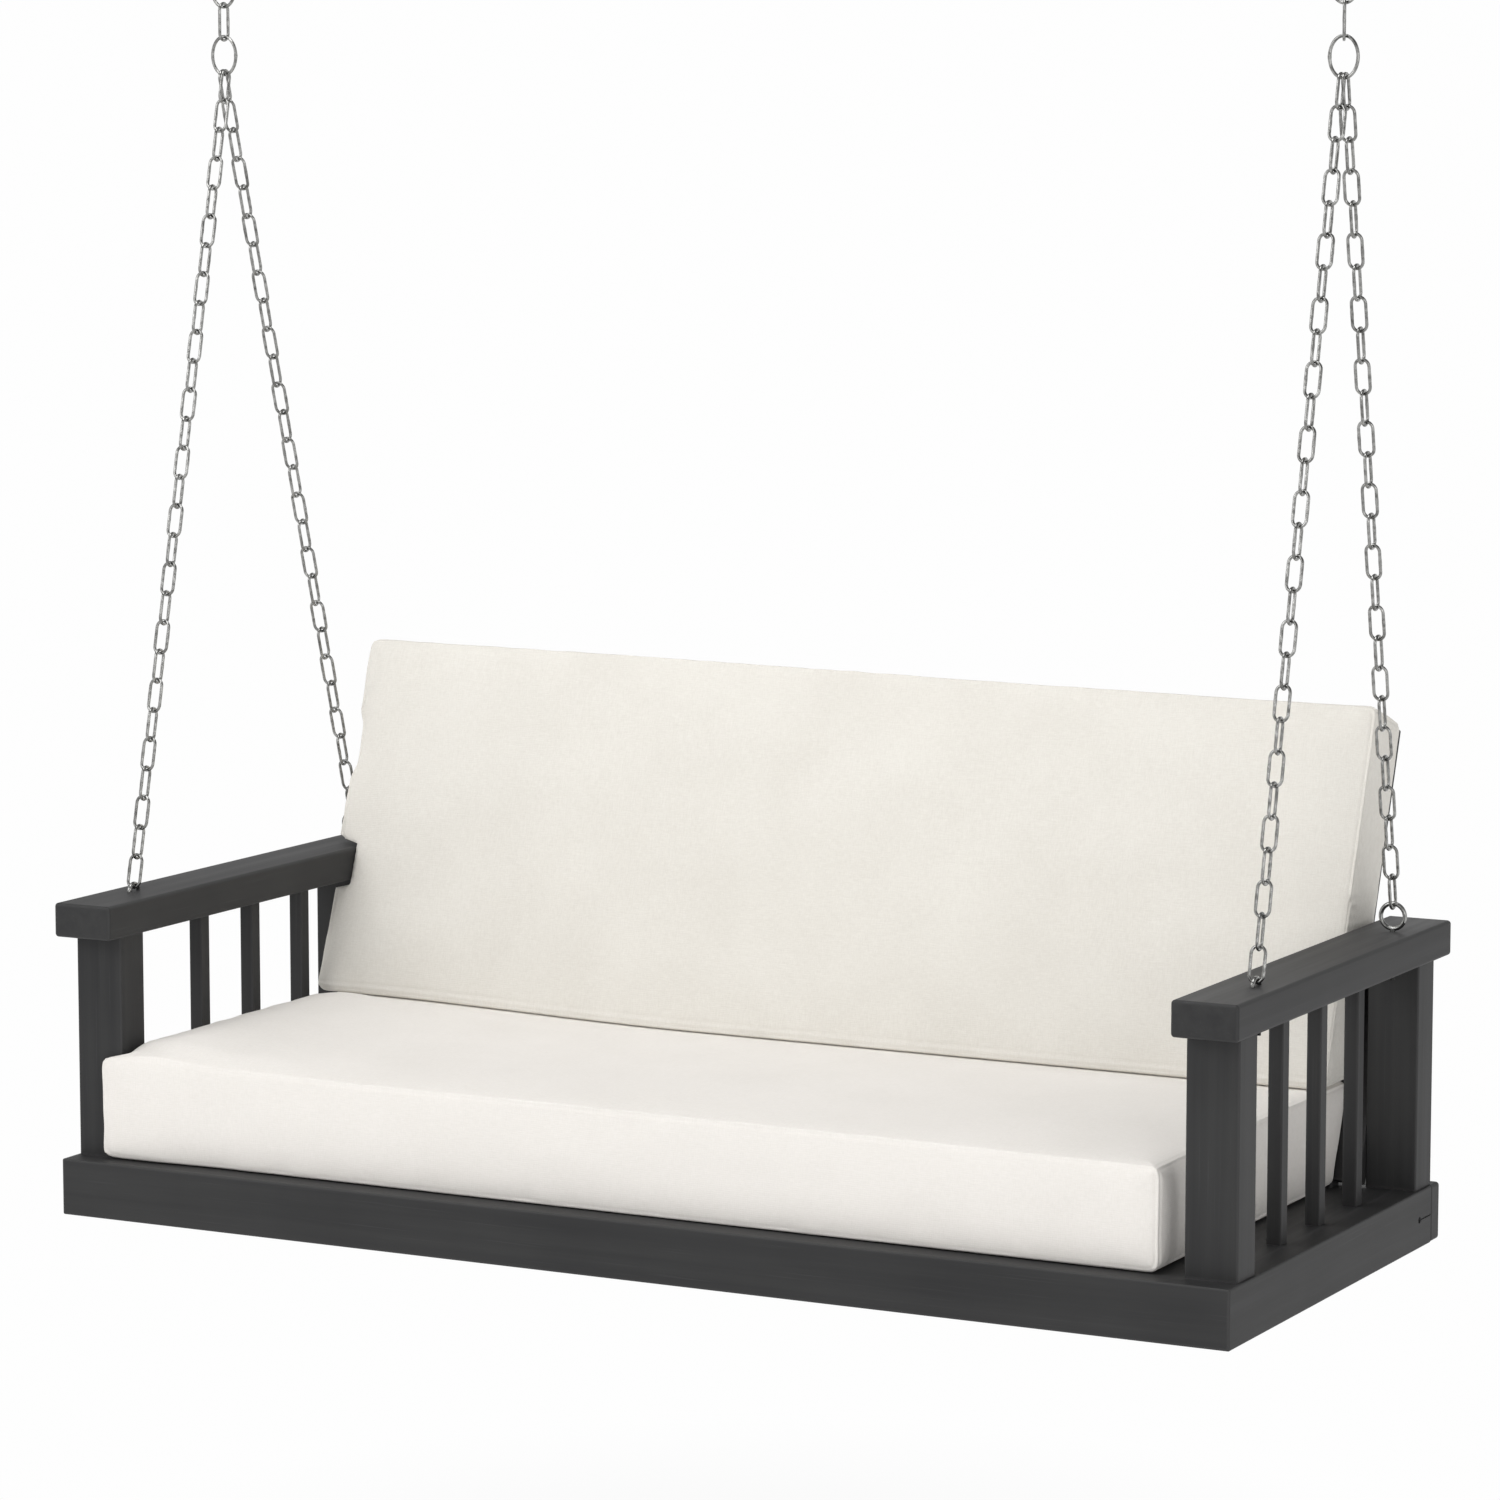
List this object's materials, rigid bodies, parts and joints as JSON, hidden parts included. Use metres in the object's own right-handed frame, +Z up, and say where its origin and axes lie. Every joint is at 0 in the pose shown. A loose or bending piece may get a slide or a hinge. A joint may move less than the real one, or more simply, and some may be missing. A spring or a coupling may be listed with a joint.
{
  "type": "porch swing",
  "caption": "Wooden porch swing with slatted arms and leaning back, thick seat and back cushions, hung on spreading chains from ceiling hooks.",
  "frame": {"origin": "on the ceiling plane, midway between the shanks of the two ceiling hooks", "axes": "+Z up along the hook shanks, +X towards the sitter's left arm rest (the right of the front view), +Y towards the back rest"},
  "size_m": [1.411, 0.6969, 1.5],
  "materials": {
    "painted_wood": "satin",
    "zinc_steel": "satin",
    "cushion_fabric": "matte"
  },
  "bodies": {
    "ceiling": {"ceiling_hook_left": "zinc_steel", "ceiling_hook_right": "zinc_steel"},
    "hanger_left": {"upper_ring_left": "zinc_steel", "hanger_link_left": "zinc_steel"},
    "junction_left": {"junction_ring_left": "zinc_steel"},
    "chains_left": {"front_chain_left": "zinc_steel", "rear_chain_left": "zinc_steel"},
    "hanger_right": {"upper_ring_right": "zinc_steel", "hanger_link_right": "zinc_steel"},
    "junction_right": {"junction_ring_right": "zinc_steel"},
    "chains_right": {"front_chain_right": "zinc_steel", "rear_chain_right": "zinc_steel"},
    "seat_cushion": {"seat_cushion": "cushion_fabric"},
    "back_cushion": {"back_cushion": "cushion_fabric"},
    "seat": {"arm_left": "painted_wood", "arm_right": "painted_wood", "back_bolts": "zinc_steel", "back_bottom_rail": "painted_wood", "back_cleats": "painted_wood", "back_slat_1": "painted_wood", "back_slat_2": "painted_wood", "back_slat_3": "painted_wood", "back_slat_4": "painted_wood", "back_slat_5": "painted_wood", "back_stile_left": "painted_wood", "back_stile_right": "painted_wood", "back_top_rail": "painted_wood", "bearer_1": "painted_wood", "bearer_2": "painted_wood", "bearer_3": "painted_wood", "corner_blocks": "painted_wood", "deck_screws": "zinc_steel", "eye_nuts": "zinc_steel", "eye_washers": "zinc_steel", "front_apron": "painted_wood", "front_eye_left": "zinc_steel", "front_eye_right": "zinc_steel", "post_bolts": "zinc_steel", "post_front_left": "painted_wood", "post_front_right": "painted_wood", "post_rear_left": "painted_wood", "post_rear_right": "painted_wood", "rear_apron": "painted_wood", "rear_eye_left": "zinc_steel", "rear_eye_right": "zinc_steel", "seat_slat_1": "painted_wood", "seat_slat_2": "painted_wood", "seat_slat_3": "painted_wood", "seat_slat_4": "painted_wood", "seat_slat_5": "painted_wood", "side_apron_left": "painted_wood", "side_apron_right": "painted_wood", "side_board_left": "painted_wood", "side_board_right": "painted_wood", "spindle_left_1": "painted_wood", "spindle_left_2": "painted_wood", "spindle_left_3": "painted_wood", "spindle_right_1": "painted_wood", "spindle_right_2": "painted_wood", "spindle_right_3": "painted_wood"}
  },
  "joints": [
    {"name": "swing_left", "type": "hinge", "parent": "ceiling", "child": "hanger_left", "pos_m": [-0.677, 0, -0.0545], "axis": [1, 0, 0], "range_deg": [-20, 20]},
    {"name": "pitch_left", "type": "hinge", "parent": "hanger_left", "child": "junction_left", "pos_m": [-0.677, 0, -0.1305], "axis": [1, 0, 0], "range_deg": [-8, 8]},
    {"name": "sway_left", "type": "hinge", "parent": "junction_left", "child": "chains_left", "pos_m": [-0.677, 0, -0.1735], "axis": [0, 1, 0], "range_deg": [-5, 5]},
    {"name": "swing_right", "type": "hinge", "parent": "ceiling", "child": "hanger_right", "pos_m": [0.677, 0, -0.0545], "axis": [1, 0, 0], "range_deg": [-20, 20]},
    {"name": "pitch_right", "type": "hinge", "parent": "hanger_right", "child": "junction_right", "pos_m": [0.677, 0, -0.1305], "axis": [1, 0, 0], "range_deg": [-8, 8]},
    {"name": "sway_right", "type": "hinge", "parent": "junction_right", "child": "chains_right", "pos_m": [0.677, 0, -0.1735], "axis": [0, 1, 0], "range_deg": [-5, 5]},
    {"name": "level", "type": "hinge", "parent": "chains_left", "child": "seat", "pos_m": [-0.677, 0, -1.072], "axis": [0, 1, 0], "range_deg": [-5, 5]},
    {"name": "seat_cushion_pull", "type": "slide", "parent": "seat", "child": "seat_cushion", "axis": [0, -1, 0], "range_m": [0, 0.25]},
    {"name": "back_cushion_lift", "type": "slide", "parent": "seat", "child": "back_cushion", "axis": [0, 0, 1], "range_m": [0, 0.3]}
  ],
  "couplings": [
    {"joint": "swing_right", "follows": "swing_left", "ratio": 1},
    {"joint": "pitch_right", "follows": "pitch_left", "ratio": 1},
    {"joint": "sway_right", "follows": "sway_left", "ratio": 1},
    {"joint": "level", "follows": "sway_left", "ratio": -1}
  ]
}
